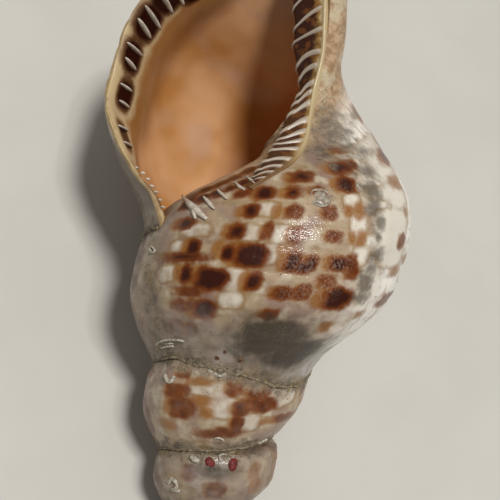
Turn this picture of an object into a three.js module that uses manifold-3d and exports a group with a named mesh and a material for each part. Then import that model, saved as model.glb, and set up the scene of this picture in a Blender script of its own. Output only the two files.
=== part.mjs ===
import * as THREE from "three";
import { mergeVertices } from "three/addons/utils/BufferGeometryUtils.js";
import Module from "manifold-3d";

// A triton's trumpet: the heavy, spindle-shaped shell of a large sea snail, lying on its back
// with the aperture up. Millimetres.
//
// The shell is first drawn about its own axis. Y runs from the apex at 0 to the end of the
// siphonal canal, the aperture looks towards +Z and the outer lip stands at -X. A place on the
// shell is given by two numbers: turns is 0 at the lip and falls by one with each whorl towards
// the apex, and u is the height on a whorl as a share of that whorl's own span.

const SPAN = 338; // height of u = 1 at the lip
const CANAL_END = 320;
const CANAL_SLOPE = 26; // how much earlier the canal's back ends, per turn
const WALL = 4;
const TIP_TURNS = -7;
const PLAIN_TURNS = -3; // the whorls before this one have no cords

// Each whorl is a larger copy of the one before; the last half turn widens faster.
const RADIUS_GROWTH = { perTurn: 0.369, late: 0.23 };
const HEIGHT_GROWTH = { perTurn: 0.4154, late: 0.0855 };
const LATE_TURNS = 0.8;

// Outer section of the last whorl, as [u, radius].
const SECTION = [
  [0.36, 35.7],
  [0.42, 45.5],
  [0.48, 53.5],
  [0.54, 70.5],
  [0.6, 82.1],
  [0.66, 84.5],
  [0.72, 83.3],
  [0.78, 73.8],
  [0.84, 50.2],
  [0.89, 26.3],
  [0.93, 17.6],
  [0.97, 14.9],
  [1, 14.2],
  [1.25, 14.2],
];
const WHORL_END = 0.955; // u at which the older whorls end, inside the neck

// Broad flat cords run round the whorls, parted by narrow grooves.
const CORDS = 9;
const FIRST_CORD = 0.44;
const CORD_PITCH = 0.052;
const GROOVE = 0.8;

// Old lips stay as low ribs, the varices, at even steps back from the lip.
const VARIX_SPACING = 0.625;
const VARIX_HEIGHT = 0.045;
const VARIX_WIDTH = 0.026;

// The spire is a little uneven: a waist, a swelling, and a lean towards +X. The canal bends
// the other way.
const WAIST = { at: -1.6, width: 0.2, height: -0.13 };
const SWELLING = { at: -2.5, width: 0.15, height: 0.06 };
const THROAT = { at: -0.055, width: 0.035, height: -0.022 };
const LEAN = 14;
const LEAN_FROM = 145;
const CANAL_BEND = { slope: -0.34, at: 263, width: 14 };

// The lip's apical part wraps round to the front by this share of a turn.
const LIP_WRAP = 0.094;
const LIP_EDGE = 1.6;
const LIP_RIB = 7.5;

const CAVITY_FROM = -1.5; // the older whorls are solid
const CALLUS = 0.7; // glaze laid over the whorl before
const AXIS_GAP = 0.5; // how near to the axis the whorls reach, inside the pillar

const LIP_TOOTH = { width: 2.6, height: 2.6 };
const PLICAE = 17;
const PLICA = { width: 2.4, height: 1.9 };

// At rest: the axis dips towards the apex, and the shell turns a little about it.
const REST_DIP = 21.35;
const REST_TURN = -5.8;
const REST_SHAVE = 0.35;

const wasm = await Module();
wasm.setup();

const bump = (x, width) => Math.exp(-((x / width) ** 2));
const growth = ({ perTurn, late }, turns) =>
  Math.exp(perTurn * turns + late * (Math.exp(turns / LATE_TURNS) - 1));
const height = (turns) => SPAN * growth(HEIGHT_GROWTH, turns);

// Smooth curve through a table of [x, y] rows.
function curve(table, x) {
  const last = table.length - 1;
  const at = THREE.MathUtils.clamp(x, table[0][0], table[last][0]);
  let k = 0;
  while (k < last - 1 && at > table[k + 1][0]) k += 1;
  const slope = (i) => {
    const a = table[Math.max(i - 1, 0)];
    const b = table[Math.min(i + 1, last)];
    return (b[1] - a[1]) / (b[0] - a[0]);
  };
  const span = table[k + 1][0] - table[k][0];
  const t = (at - table[k][0]) / span;
  const s = 1 - t;
  return (
    table[k][1] * (1 + 2 * t) * s * s +
    slope(k) * span * t * s * s +
    table[k + 1][1] * (1 + 2 * s) * t * t -
    slope(k + 1) * span * s * t * t
  );
}

function swell(turns) {
  const nearest = Math.round(turns / VARIX_SPACING) * VARIX_SPACING;
  const varix = nearest < 0 ? VARIX_HEIGHT * bump(turns - nearest, VARIX_WIDTH) : 0;
  return [WAIST, SWELLING, THROAT].reduce(
    (sum, part) => sum + part.height * bump(turns - part.at, part.width),
    1 + varix,
  );
}

const outer = (turns, u, relief = 0) =>
  (curve(SECTION, u) + relief) * growth(RADIUS_GROWTH, turns) * swell(turns);

// Outer radius at height y, or 0 past the canal end of that turn.
function outerAt(turns, y) {
  const u = y / height(turns);
  return u > WHORL_END ? 0 : outer(turns, u);
}

// How far the axis stands to the side at height y.
function axisX(y) {
  const past = y - CANAL_BEND.at;
  const bend = (CANAL_BEND.slope * (past + Math.hypot(past, CANAL_BEND.width))) / 2;
  return LEAN * (Math.max(0, LEAN_FROM - y) / LEAN_FROM) ** 2 + bend;
}

function place(turns, radius, y) {
  const angle = 2 * Math.PI * turns;
  return new THREE.Vector3(axisX(y) - radius * Math.cos(angle), y, radius * Math.sin(angle));
}

// Share of a turn by which the lip's edge at u stands ahead of the aperture plane.
const lipTurns = (u) => LIP_WRAP * (1 - THREE.MathUtils.smoothstep(u, 0.505, 0.548));

// A closed geometry as a solid, with its faces turned outwards.
function manifoldOf(geometry) {
  geometry.deleteAttribute("normal");
  geometry.deleteAttribute("uv");
  const merged = mergeVertices(geometry, 1e-4);
  const vertProperties = merged.attributes.position.array;
  const solid = (triVerts) =>
    new wasm.Manifold(new wasm.Mesh({ numProp: 3, vertProperties, triVerts }));
  const triVerts = new Uint32Array(merged.index.array);
  const made = solid(triVerts);
  return made.volume() < 0 ? solid(triVerts.toReversed()) : made;
}

// A closed solid through rings of equally many points. Each ring is a closed loop whose second
// half runs back beside its first half, so that the two ends close with a ladder of faces.
function sweep(rings) {
  const size = rings[0].length;
  const index = [];
  const quad = (a, b, c, d) => index.push(a, b, c, a, c, d);
  for (let k = 0; k < rings.length - 1; k += 1) {
    for (let i = 0; i < size; i += 1) {
      const j = (i + 1) % size;
      quad(k * size + i, k * size + j, (k + 1) * size + j, (k + 1) * size + i);
    }
  }
  const end = (rings.length - 1) * size;
  for (let i = 0; i < size / 2 - 1; i += 1) {
    const j = size - 1 - i;
    quad(i, j, j - 1, i + 1);
    quad(end + i, end + i + 1, end + j - 1, end + j);
  }
  const geometry = new THREE.BufferGeometry();
  geometry.setFromPoints(rings.flat());
  geometry.setIndex(index);
  return manifoldOf(geometry);
}

const join = (solids) => solids.reduce((all, solid) => all.add(solid));
const spread = (from, to, count) =>
  Array.from({ length: count + 1 }, (_, k) => from + ((to - from) * k) / count);

// Section samples, as [u, relief]: three to a cord, with the groove lower than the cord's two
// shoulders. The small whorls of the spire's tip are plain.
const samples = [
  [0.36, 0],
  [0.4, 0],
];
for (let cord = 0; cord < CORDS; cord += 1) {
  const u = FIRST_CORD + cord * CORD_PITCH;
  samples.push([u, cord < CORDS - 1 ? -GROOVE : -GROOVE / 3]);
  samples.push([u + 0.2 * CORD_PITCH, 0]);
  samples.push([u + 0.8 * CORD_PITCH, 0]);
}
samples.push([WHORL_END, 0]);
const plainSamples = spread(0.36, WHORL_END, 12).map((u) => [u, 0]);

// One half turn of whorl, solid to the axis. The last one ends at the lip's edge and goes on
// upwards as the canal.
function whorl(from, to, steps, section) {
  const last = to === 0;
  const rows = last ? [...section.slice(0, -1), [0.925, 0]] : section;
  const rings = spread(0, 1, steps).map((part) => {
    const points = rows.map(([u, relief]) => {
      const turns = from + ((last ? lipTurns(u) : to) - from) * part;
      return [turns, outer(turns, u, relief), height(turns) * u];
    });
    if (last) {
      const turns = from - from * part;
      const y = CANAL_END + CANAL_SLOPE * turns;
      points.push([turns, outer(turns, y / height(turns)), y]);
    }
    return [
      ...points.map(([turns, radius, y]) => place(turns, radius, y)),
      ...points.reverse().map(([turns, , y]) => place(turns, AXIS_GAP, y)),
    ];
  });
  return sweep(rings);
}

const whorls = [];
for (let from = TIP_TURNS; from < PLAIN_TURNS; from += 0.5) {
  whorls.push(whorl(from, from + 0.5, 6, plainSamples));
}
for (let from = PLAIN_TURNS; from < 0; from += 0.5) {
  whorls.push(whorl(from, from + 0.5, from < -1 ? 12 : 16, samples));
}

// A round bar along the axis, through rows of [y, x, z, radius].
function bar(rows, sides) {
  const rings = rows.map(([y, x, z, radius]) =>
    spread(0, 1, sides)
      .slice(1)
      .map((part) => {
        const angle = 2 * Math.PI * part;
        const side = new THREE.Vector3(Math.sin(angle), 0, Math.cos(angle));
        return side.multiplyScalar(radius).add(new THREE.Vector3(axisX(y) + x, y, z));
      }),
  );
  return sweep(rings);
}

const pillar = bar(
  [12, 30, 60, 100, 145].map((y) => [y, 0, 0, 1 + y / 40]),
  8,
);
const neck = bar(
  [
    [144, 0, 0, 4.6],
    [200, 0, 0, 5.3],
    [222, 0.3, 0, 5.6],
    [236, 1, 0.4, 7.4],
    [248, 1.2, 0.8, 8.8],
    [262, 1, 1, 9.3],
    [280, 0.8, 0.6, 9.4],
    [298, 0.6, 0, 8.8],
    [307, 0.4, -0.4, 7.6],
    [312, 0.2, -0.8, 5],
  ],
  12,
);
const columella = bar(
  [
    [228, 0, 0, 4.2],
    [244, -1, 2, 5.2],
    [254, -2.6, 3, 6.4],
    [264, -4.8, 3.4, 7],
    [274, -5.6, 3, 7],
    [288, -5.2, 2, 6.8],
    [302, -4, 1, 5.8],
    [310, -3.2, 0.4, 4.6],
    [315, -2.8, 0, 2.6],
  ],
  12,
);
// The worn apex is a blunt round knob.
const knobY = height(TIP_TURNS) * 0.62;
const knob = manifoldOf(
  new THREE.SphereGeometry(1, 10, 6)
    .scale(5.6, 5.2, 5.6)
    .translate(axisX(knobY), knobY, 0),
);

// Wall thickness at a distance behind the lip's edge, in turns: thin at the edge, thickest at
// the rib that carries the teeth, then even.
function wall(behind, radius) {
  const rib = THREE.MathUtils.smoothstep(behind, 0, 0.022);
  const back = THREE.MathUtils.smoothstep(behind, 0.03, 0.09);
  const full = LIP_EDGE + (LIP_RIB - LIP_EDGE) * rib - (LIP_RIB - WALL) * back;
  return full * Math.min(1, Math.sqrt(radius / 50));
}

// The cavity turns round the columella and over the whorl before, and opens at the lip and
// along the canal.
const CAVITY_LEVELS = 9;
function cavityRing(turnsOf, endOf) {
  const floorAt = (turns, u) => {
    const y = height(turns) * u;
    const core = 4 - 3.4 * THREE.MathUtils.smoothstep(y, 292, 304);
    return Math.max(outerAt(turns - 1, y) + CALLUS, core);
  };
  const roofAt = (turns, u) => {
    const radius = outer(turns, u);
    return radius - wall(endOf(u) - turns, radius);
  };
  let low = 0.4;
  while (roofAt(turnsOf(low), low) < floorAt(turnsOf(low), low) + 0.6) low += 0.004;
  const top = turnsOf(1);
  const open = THREE.MathUtils.smoothstep(top, -0.42, -0.27);
  const high = 0.92 + (CANAL_END / height(top) + 0.03 - 0.92) * open;
  const lower = spread(0, Math.PI, CAVITY_LEVELS).map((angle) => (1 - Math.cos(angle)) / 2);
  const shares = [...lower.map((part) => low + (0.9 - low) * part), (0.9 + high) / 2, high];
  const levels = shares.map((u) => {
    const turns = turnsOf(u);
    const y = height(turns) * u;
    const floor = floorAt(turns, u);
    return { turns, y, floor, roof: Math.max(roofAt(turns, u), floor + 0.4) };
  });
  return [
    ...levels.map(({ turns, roof, y }) => place(turns, roof, y)),
    ...levels.reverse().map(({ turns, floor, y }) => place(turns, floor, y)),
  ];
}

const PAST_LIP = 0.02;
const cavity = [];
for (let from = CAVITY_FROM; from < 0; from += 0.25) {
  const last = from === -0.25;
  const parts = spread(0, 1, last ? 10 : 4);
  const end = (u) => (last ? lipTurns(u) + PAST_LIP : from + 0.25);
  const edge = (u) => lipTurns(u);
  const rings = parts.map((part) => cavityRing((u) => from + (end(u) - from) * part, edge));
  cavity.push(sweep(rings));
}

// A low ridge from one point to another.
function ridge(from, to, width, rise, up) {
  const along = to.clone().sub(from);
  const length = along.length();
  const y = along.normalize();
  const x = new THREE.Vector3().crossVectors(y, up).normalize();
  const z = new THREE.Vector3().crossVectors(x, y);
  const frame = new THREE.Matrix4().makeBasis(x, y, z);
  frame.setPosition(from.clone().add(to).multiplyScalar(0.5));
  const shape = new THREE.SphereGeometry(1, 6, 4);
  return manifoldOf(shape.scale(width / 2, length / 2, rise).applyMatrix4(frame));
}

// Teeth stand in pairs on the inside of the lip. Each row gives the pair's u.
const toothRows = [0.478, 0.497, 0.513, 0.528, 0.541, 0.57, 0.621, 0.673, 0.72, 0.76, 0.8, 0.84];
const teeth = [];
for (const u of toothRows) {
  const single = u < 0.55;
  for (const side of single ? [0] : [-1, 1]) {
    const at = u + side * 0.0085;
    const point = (behind) => {
      const turns = lipTurns(at) - behind;
      const radius = outer(turns, at);
      return place(turns, radius - wall(behind, radius), height(turns) * at);
    };
    const inward = new THREE.Vector3(1, 0, 0);
    teeth.push(
      ridge(point(0.006), point(single ? 0.03 : 0.045), LIP_TOOTH.width, LIP_TOOTH.height, inward),
    );
  }
}

// The inner lip: a raised rim of callus, and plicae from the rim across to the aperture's edge.
// The paths' x is measured from the axis.
const pathThrough = (points) =>
  new THREE.CatmullRomCurve3(
    points.map(([x, y, z]) => new THREE.Vector3(axisX(y) + x, y, z)),
  );
const rimPath = pathThrough([
  [-8, 180, 47.4],
  [-1.1, 188.1, 43.7],
  [2.7, 197.8, 34],
  [4.2, 208.9, 21.4],
  [3.6, 221, 12.6],
  [3.4, 232, 9.6],
  [3.6, 246, 10],
  [3.4, 258, 10.4],
  [2.3, 272, 10.2],
  [1.2, 288, 9.4],
  [0, 302, 8],
  [-1, 311, 4.6],
]);
const edgePath = pathThrough([
  [-16, 182, 41],
  [-10.6, 191.5, 33],
  [-7.3, 202, 20],
  [-5.2, 212, 11],
  [-5.2, 222, 5],
  [-4.9, 232, 2.5],
  [-6, 243, 3],
  [-8.6, 253, 4],
  [-11.2, 262, 4.4],
  [-12.2, 270, 4],
  [-11.8, 286, 3],
  [-9.6, 300, 2],
]);
const rimSolid = sweep(
  spread(0, 1, 22).map((t) => {
    const centre = rimPath.getPoint(t);
    const tangent = rimPath.getTangent(t);
    const side = new THREE.Vector3().crossVectors(tangent, new THREE.Vector3(0, 0, 1)).normalize();
    const up = new THREE.Vector3().crossVectors(side, tangent);
    const radius = 0.6 + 1.1 * Math.min(1, t * 6) * Math.min(1, (1 - t) * 6);
    return spread(0, 1, 6)
      .slice(1)
      .map((part) => {
        const angle = 2 * Math.PI * part;
        const out = side.clone().multiplyScalar(Math.cos(angle) * radius);
        return out.addScaledVector(up, Math.sin(angle) * radius).add(centre);
      });
  }),
);
const plicae = spread(0.03, 0.9, PLICAE - 1).map((t) => {
  const rim = rimPath.getPoint(t);
  const edge = edgePath.getPoint(0.97 * t);
  const up = new THREE.Vector3(-0.5, 0, 1);
  return ridge(rim, edge, PLICA.width, PLICA.height, up);
});

// Two white folds on the parietal wall, near the lip's apical end.
const frontal = new THREE.Vector3(-0.3, 0.2, 1);
const folds = [
  ridge(new THREE.Vector3(-38, 172, 27), new THREE.Vector3(-31, 163, 37), 3.4, 2.2, frontal),
  ridge(new THREE.Vector3(-29, 173, 38), new THREE.Vector3(-26, 167, 42), 3, 1.8, frontal),
];

let shell = join([pillar, neck, knob, ...whorls]).subtract(join(cavity));
shell = join([shell, neck, columella, rimSolid, ...teeth, ...plicae, ...folds]);

// Facets that all but vanish are closed up, and only the one body is kept.
shell = shell.simplify(0.06);
shell = shell.decompose().reduce((most, body) => (body.volume() > most.volume() ? body : most));

function geometryOf(solid) {
  const { vertProperties, triVerts } = solid.getMesh();
  const geometry = new THREE.BufferGeometry();
  geometry.setAttribute("position", new THREE.Float32BufferAttribute(vertProperties, 3));
  geometry.setIndex(Array.from(triVerts));
  return geometry;
}

// Laid at rest, with the few high spots that it stands on worn flat.
const rest = new THREE.Matrix4()
  .makeRotationX(THREE.MathUtils.degToRad(REST_DIP))
  .multiply(new THREE.Matrix4().makeRotationY(THREE.MathUtils.degToRad(REST_TURN)));
const laid = geometryOf(shell).applyMatrix4(rest);
laid.computeBoundingBox();
const { min, max } = laid.boundingBox;
laid.translate(-(min.x + max.x) / 2, -(min.y + max.y) / 2, -min.z - REST_SHAVE);
const ground = manifoldOf(new THREE.BoxGeometry(400, 400, 20).translate(0, 0, -10));
const geometry = geometryOf(manifoldOf(laid).subtract(ground));

const mesh = new THREE.Mesh(
  geometry,
  new THREE.MeshStandardMaterial({ color: 0xcdb89a, roughness: 0.4, metalness: 0 }),
);
mesh.name = "triton_shell";

const group = new THREE.Group();
group.add(mesh);

export default group;
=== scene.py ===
import math
import random
from functools import partial

import bmesh
import bpy
import numpy as np
from mathutils import Matrix, Vector, noise


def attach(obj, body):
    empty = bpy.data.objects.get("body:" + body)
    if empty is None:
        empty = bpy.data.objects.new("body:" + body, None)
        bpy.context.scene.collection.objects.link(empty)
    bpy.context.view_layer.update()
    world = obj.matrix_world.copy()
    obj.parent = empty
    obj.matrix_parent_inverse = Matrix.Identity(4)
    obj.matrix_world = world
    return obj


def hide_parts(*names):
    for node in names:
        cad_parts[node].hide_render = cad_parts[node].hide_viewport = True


# A triton's trumpet: the spiral shell of a large sea snail, lying on its back with the aperture
# up. It is drawn about its own axis in millimetres, as the solid is: Y from the apex at 0 to the
# siphonal canal, the aperture towards +Z, the outer lip at -X. turns is 0 at the lip and falls by
# one with each whorl towards the apex; u is the height on a whorl as a share of its own span.

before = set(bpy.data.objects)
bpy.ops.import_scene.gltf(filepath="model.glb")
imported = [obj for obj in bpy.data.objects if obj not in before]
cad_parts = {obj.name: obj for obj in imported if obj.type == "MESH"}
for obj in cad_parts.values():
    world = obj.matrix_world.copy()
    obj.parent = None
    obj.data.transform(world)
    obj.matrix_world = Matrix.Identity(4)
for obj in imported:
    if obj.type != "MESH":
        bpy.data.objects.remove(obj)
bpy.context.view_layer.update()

REST = (
    Matrix.Translation((10.393, -151.889, 0.06))
    @ Matrix.Rotation(math.radians(21.35), 4, "X")
    @ Matrix.Rotation(math.radians(-5.8), 4, "Y")
)
TO_METRES = Matrix.Scale(0.001, 4) @ REST

# The camera looks across the axis from 0.42 m, turned so that the spire points down the picture.
PITCH, YAW, ROLL = math.radians(-3.71), math.radians(3.56), math.radians(-16.16)
PHOTO_SIDE = 500
FOCAL = 955
SENSOR = 36
TURN = (
    Matrix.Rotation(ROLL, 3, "Z") @ Matrix.Rotation(PITCH, 3, "X") @ Matrix.Rotation(YAW, 3, "Y")
).transposed()
EYE = Vector((0, 189.2, 0)) + TURN @ Vector((-11.64, -27.04, 420.2))

camera_data = bpy.data.cameras.new("camera")
camera_data.sensor_width = SENSOR
camera_data.lens = FOCAL / PHOTO_SIDE * SENSOR
camera_data.clip_start = 0.01
camera = bpy.data.objects.new("camera", camera_data)
camera.matrix_world = (
    Matrix.Translation(TO_METRES @ EYE) @ REST.to_3x3().to_4x4() @ TURN.to_4x4()
)
bpy.context.scene.collection.objects.link(camera)
bpy.context.scene.camera = camera

# The shell's form, close to the solid's

SPAN = 338
WALL = 4
TIP_TURNS = -7
CANAL_END = 320
CANAL_SLOPE = 26
RADIUS_GROWTH = (0.369, 0.23)
HEIGHT_GROWTH = (0.4154, 0.0855)
LATE_TURNS = 0.8
SECTION = [
    (0.36, 35.7), (0.42, 45.5), (0.48, 53.5), (0.54, 70.5), (0.6, 82.1), (0.66, 84.5),
    (0.72, 83.3), (0.78, 73.8), (0.84, 50.2), (0.89, 27.2), (0.93, 19.2), (0.97, 17.8),
    (1, 17.8), (1.25, 18.4),
]
VARIX_SPACING = 0.625
VARIX_HEIGHT = 0.045
VARIX_WIDTH = 0.026
UNEVEN = [(-1.6, 0.2, -0.13), (-2.5, 0.15, 0.06), (-0.055, 0.035, -0.022)]
LEAN = 14
LEAN_FROM = 145
LIP_RIB = 10
# The lip's edge as (u, turns): it wraps on over the whorl before it towards the apex.
LIP_EDGE = [
    (0.42, 0.0985), (0.446, 0.094), (0.466, 0.0845), (0.487, 0.07), (0.506, 0.05), (0.545, 0.033),
    (0.582, 0.02), (0.62, 0.004), (0.66, 0), (0.9, 0),
]

# Only in the looks: the cords' middles, the lip's rounded edge, and where the sheets start.
CORDS = [0.462, 0.502, 0.54, 0.578, 0.62, 0.661, 0.702, 0.738, 0.772, 0.806, 0.84, 0.872]
GAPS = [(a + b) / 2 for a, b in zip(CORDS, CORDS[1:])]
GROOVE = 0.4
EDGE = 3.2
EDGE_REACH = 2.6
BODY_FROM = -1.25
CANAL_FROM = -0.70


def bump(x, width):
    return math.exp(-((x / width) ** 2))


def smoothstep(x, low, high):
    t = min(max((x - low) / (high - low), 0), 1)
    return t * t * (3 - 2 * t)


def growth(rates, turns):
    return math.exp(rates[0] * turns + rates[1] * (math.exp(turns / LATE_TURNS) - 1))


def height(turns):
    return SPAN * growth(HEIGHT_GROWTH, turns)


def curve(table, x):
    """Smooth curve through a table of (x, y) rows."""
    last = len(table) - 1
    at = min(max(x, table[0][0]), table[last][0])
    k = 0
    while k < last - 1 and at > table[k + 1][0]:
        k += 1

    def slope(i):
        a, b = table[max(i - 1, 0)], table[min(i + 1, last)]
        return (b[1] - a[1]) / (b[0] - a[0])

    span = table[k + 1][0] - table[k][0]
    t = (at - table[k][0]) / span
    s = 1 - t
    return (
        table[k][1] * (1 + 2 * t) * s * s + slope(k) * span * t * s * s
        + table[k + 1][1] * (1 + 2 * s) * t * t - slope(k + 1) * span * s * t * t
    )


def swell(turns, u):
    nearest = round(turns / VARIX_SPACING) * VARIX_SPACING
    varix = VARIX_HEIGHT * bump(turns - nearest, VARIX_WIDTH) if nearest < 0 else 0
    varix *= smoothstep(u, 0.45, 0.56)
    return 1 + varix + sum(rise * bump(turns - at, width) for at, width, rise in UNEVEN)


def cord_relief(u):
    """Broad flat cords parted by narrow grooves, fading towards the neck."""
    fade = 1 - 0.8 * smoothstep(u, 0.8, 0.88)
    return -GROOVE * fade * max(bump(u - gap, 0.0055) for gap in GAPS)


def outer(turns, u):
    return (curve(SECTION, u) + cord_relief(u)) * growth(RADIUS_GROWTH, turns) * swell(turns, u)


def ring(turns, u):
    """Length in mm of one turn round the shell."""
    return 2 * math.pi * outer(turns, u)


def axis_x(y):
    past = y - 263
    bend = -0.34 * (past + math.hypot(past, 14)) / 2
    return LEAN * (max(0, LEAN_FROM - y) / LEAN_FROM) ** 2 + bend


def place(turns, radius, y):
    angle = 2 * math.pi * turns
    return Vector((axis_x(y) - radius * math.cos(angle), y, radius * math.sin(angle)))


def lip_turns(u):
    """How far the lip's edge at u stands ahead of the aperture plane."""
    return curve(LIP_EDGE, u)


def wall(behind, u, radius):
    """Wall thickness behind the lip's edge: the rib with the teeth, then even."""
    top = WALL + 1 + (LIP_RIB - WALL - 1) * smoothstep(u, 0.5, 0.555)
    rib = smoothstep(behind, -0.008, 0.034)
    back = smoothstep(behind, 0.04, 0.1)
    full = EDGE + (top - EDGE) * rib - (top - WALL) * back
    return full * min(1, math.sqrt(radius / 50))


def canal_u(turns):
    return (CANAL_END + CANAL_SLOPE * turns) / height(turns)


def unevenness(point, size, amount):
    return amount * noise.noise(point / size)


def skin(turns, u, lift=0.0):
    """A point on the whorl's outside, lifted off it by lift."""
    return place(turns, outer(turns, u) + lift, height(turns) * u)


def lip_face(behind, u, lift=0.0):
    """A point on the inner side of the lip, behind its edge in turns, lifted into the aperture."""
    turns = lip_turns(u) - behind
    radius = outer(turns, u)
    return place(turns, radius - wall(behind, u, radius) - lift, height(turns) * u)


def skin_frame(turns, u):
    """Point, direction round the whorl, direction towards the canal, and outward normal."""
    here = skin(turns, u)
    round_ = (skin(turns + 0.002, u) - here).normalized()
    up = (skin(turns, u + 0.002) - here).normalized()
    out = up.cross(round_).normalized()
    if out.dot(skin(turns, u, 1) - here) < 0:
        out = -out
    return here, round_, out.cross(round_), out


# Places on the shell from where they show in the photograph, in pixels

SMALL_STEP = 0.001


def in_photo(point):
    """Pixel at which a point of the shell shows, and how near it is to the camera."""
    seen = TURN.transposed() @ (point - EYE)
    middle = PHOTO_SIDE / 2
    return np.array((middle - FOCAL * seen.x / seen.z, middle + FOCAL * seen.y / seen.z, seen.z))


def sights(surface, firsts, seconds):
    """A surface with a net of its places and where each shows."""
    places = [(a, b) for a in firsts for b in seconds]
    return surface, places, np.array([in_photo(surface(a, b)) for a, b in places])


def find(sight, x, y):
    """The place on a surface, in its two coordinates, that shows at a pixel."""
    surface, places, spots = sight
    target = np.array((x, y))
    off = np.hypot(*(spots[:, :2] - target).T)
    close = np.flatnonzero(off < off.min() + 5)
    front = close[spots[close, 2] > spots[close, 2].max() - 12]
    at = np.array(places[front[np.argmin(off[front])]])
    for _ in range(5):
        here = in_photo(surface(*at))[:2]
        slopes = [
            (in_photo(surface(*(at + step)))[:2] - here) / SMALL_STEP
            for step in np.eye(2) * SMALL_STEP
        ]
        move = np.linalg.lstsq(np.array(slopes).T, target - here, rcond=0.05)[0]
        at = at + np.clip(move, -0.012, 0.012)
    return float(at[0]), float(at[1])


ON_SHELL = sights(skin, np.arange(-3.1, -0.42, 0.012), np.arange(0.46, 0.98, 0.0125))
ON_LIP = sights(lip_face, np.arange(0, 0.06, 0.003), np.arange(0.43, 0.9, 0.005))


def marks_seen(rows, longest=14, tallest=12):
    """Marks as (turns, u, half length, half height) in mm, from rows given in pixels."""
    marks = []
    for x, y, wide, tall in rows:
        turns, u = find(ON_SHELL, x, y)
        here = in_photo(skin(turns, u))
        round_ = in_photo(skin(turns + SMALL_STEP, u)) - here
        up = in_photo(skin(turns, u + SMALL_STEP)) - here
        length = wide * SMALL_STEP / math.hypot(round_[0], round_[1]) * ring(turns, u)
        tall_mm = tall * SMALL_STEP / math.hypot(up[0], up[1]) * height(turns)
        marks.append((turns, u, min(length, longest), min(tall_mm, tallest)))
    return marks


# Making meshes


def new_bmesh():
    """A bmesh whose points keep their place on the shell, as (turns, u, behind the lip)."""
    bm = bmesh.new()
    return bm, bm.verts.layers.float_vector.new("place")


def finish_piece(name, bm, material):
    """The bmesh, drawn in the shell's own frame in millimetres, as a piece of the shell."""
    bmesh.ops.remove_doubles(bm, verts=bm.verts, dist=0.001)
    bmesh.ops.recalc_face_normals(bm, faces=bm.faces)
    bmesh.ops.transform(bm, matrix=TO_METRES, verts=bm.verts)
    # The high spots that it stands on are worn flat, as on the solid.
    for vert in bm.verts:
        vert.co.z = max(vert.co.z, 0)
    mesh = bpy.data.meshes.new(name)
    bm.to_mesh(mesh)
    bm.free()
    mesh.materials.append(material)
    mesh.shade_smooth()
    piece = bpy.data.objects.new(name, mesh)
    bpy.context.scene.collection.objects.link(piece)
    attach(piece, "root")
    return piece


def grow(bm, layer, sections, close=True):
    """Extrudes a loop of points through a list of equally long sections of (point, place)."""
    verts = [bm.verts.new(point) for point, _ in sections[0]]
    pairs = list(zip(verts, verts[1:])) + ([(verts[-1], verts[0])] if close else [])
    edges = [bm.edges.new(pair) for pair in pairs]
    rings = [verts]
    for section in sections[1:]:
        made = bmesh.ops.extrude_edge_only(bm, edges=edges)["geom"]
        fresh = {v for v in made if isinstance(v, bmesh.types.BMVert)}
        edges = [
            e for e in made
            if isinstance(e, bmesh.types.BMEdge) and e.verts[0] in fresh and e.verts[1] in fresh
        ]
        verts = [
            next(e.other_vert(v) for e in v.link_edges if e.other_vert(v) in fresh)
            for v in verts
        ]
        for vert, (point, _) in zip(verts, section):
            vert.co = point
        rings.append(verts)
    for loop, section in zip(rings, sections):
        for vert, (_, mark) in zip(loop, section):
            vert[layer] = mark
    return rings


def cap(bm, loop):
    """Closes the end of a flattened loop whose second half runs back beside its first half."""
    half = len(loop) // 2
    front = [bm.edges.get(pair) for pair in zip(loop[:half], loop[1:half])]
    back = [bm.edges.get(pair) for pair in zip(loop[half:], loop[half + 1:])]
    bmesh.ops.bridge_loops(bm, edges=[e for e in front + back if e])


def tube(bm, layer, path, radii, sides=8, mark=(0, 0, 0)):
    """A round tube along a path, with flat ends."""
    sections = []
    for k, (centre, radius) in enumerate(zip(path, radii)):
        ahead = path[min(k + 1, len(path) - 1)] - path[max(k - 1, 0)]
        side = ahead.cross(Vector((0.3, 0.2, 1))).normalized()
        up = side.cross(ahead).normalized()
        section = []
        for i in range(sides):
            angle = 2 * math.pi * i / sides
            out = side * math.cos(angle) + up * math.sin(angle)
            section.append((centre + out * radius, mark))
        sections.append(section)
    rings = grow(bm, layer, sections)
    for loop in (rings[0], rings[-1]):
        bm.faces.new(loop)


def spline(points, t):
    """Smooth path through the points; t runs from 0 to 1."""
    at = min(max(t, 0), 1) * (len(points) - 1)
    k = min(int(at), len(points) - 2)
    f = at - k
    p = [Vector(points[min(max(k + i, 0), len(points) - 1)]) for i in (-1, 0, 1, 2)]
    return (
        2 * p[1] + (p[2] - p[0]) * f
        + (2 * p[0] - 5 * p[1] + 4 * p[2] - p[3]) * f * f
        + (3 * p[1] - p[0] - 3 * p[2] + p[3]) * f ** 3
    ) / 2


# The whorls

OUTER_ROWS = [0.43 + (0.9 - 0.43) * k / 94 for k in range(95)]
TAIL = 24


def body_rows(share):
    """(turns, u, behind) down a section; share is 0 at the lip's edge and 1 at the start."""
    rows = []
    for u in OUTER_ROWS:
        behind = share * (lip_turns(u) - BODY_FROM)
        rows.append((lip_turns(u) - behind, u, behind))
    for k in range(1, TAIL + 1):
        reach = (k / TAIL) ** 1.6
        start = BODY_FROM + (CANAL_FROM - BODY_FROM) * smoothstep(reach, 0, 0.2)
        behind = -share * start
        turns = lip_turns(0.9) - behind
        rows.append((turns, 0.9 + (canal_u(turns) - 0.9) * reach, behind))
    return rows


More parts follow.
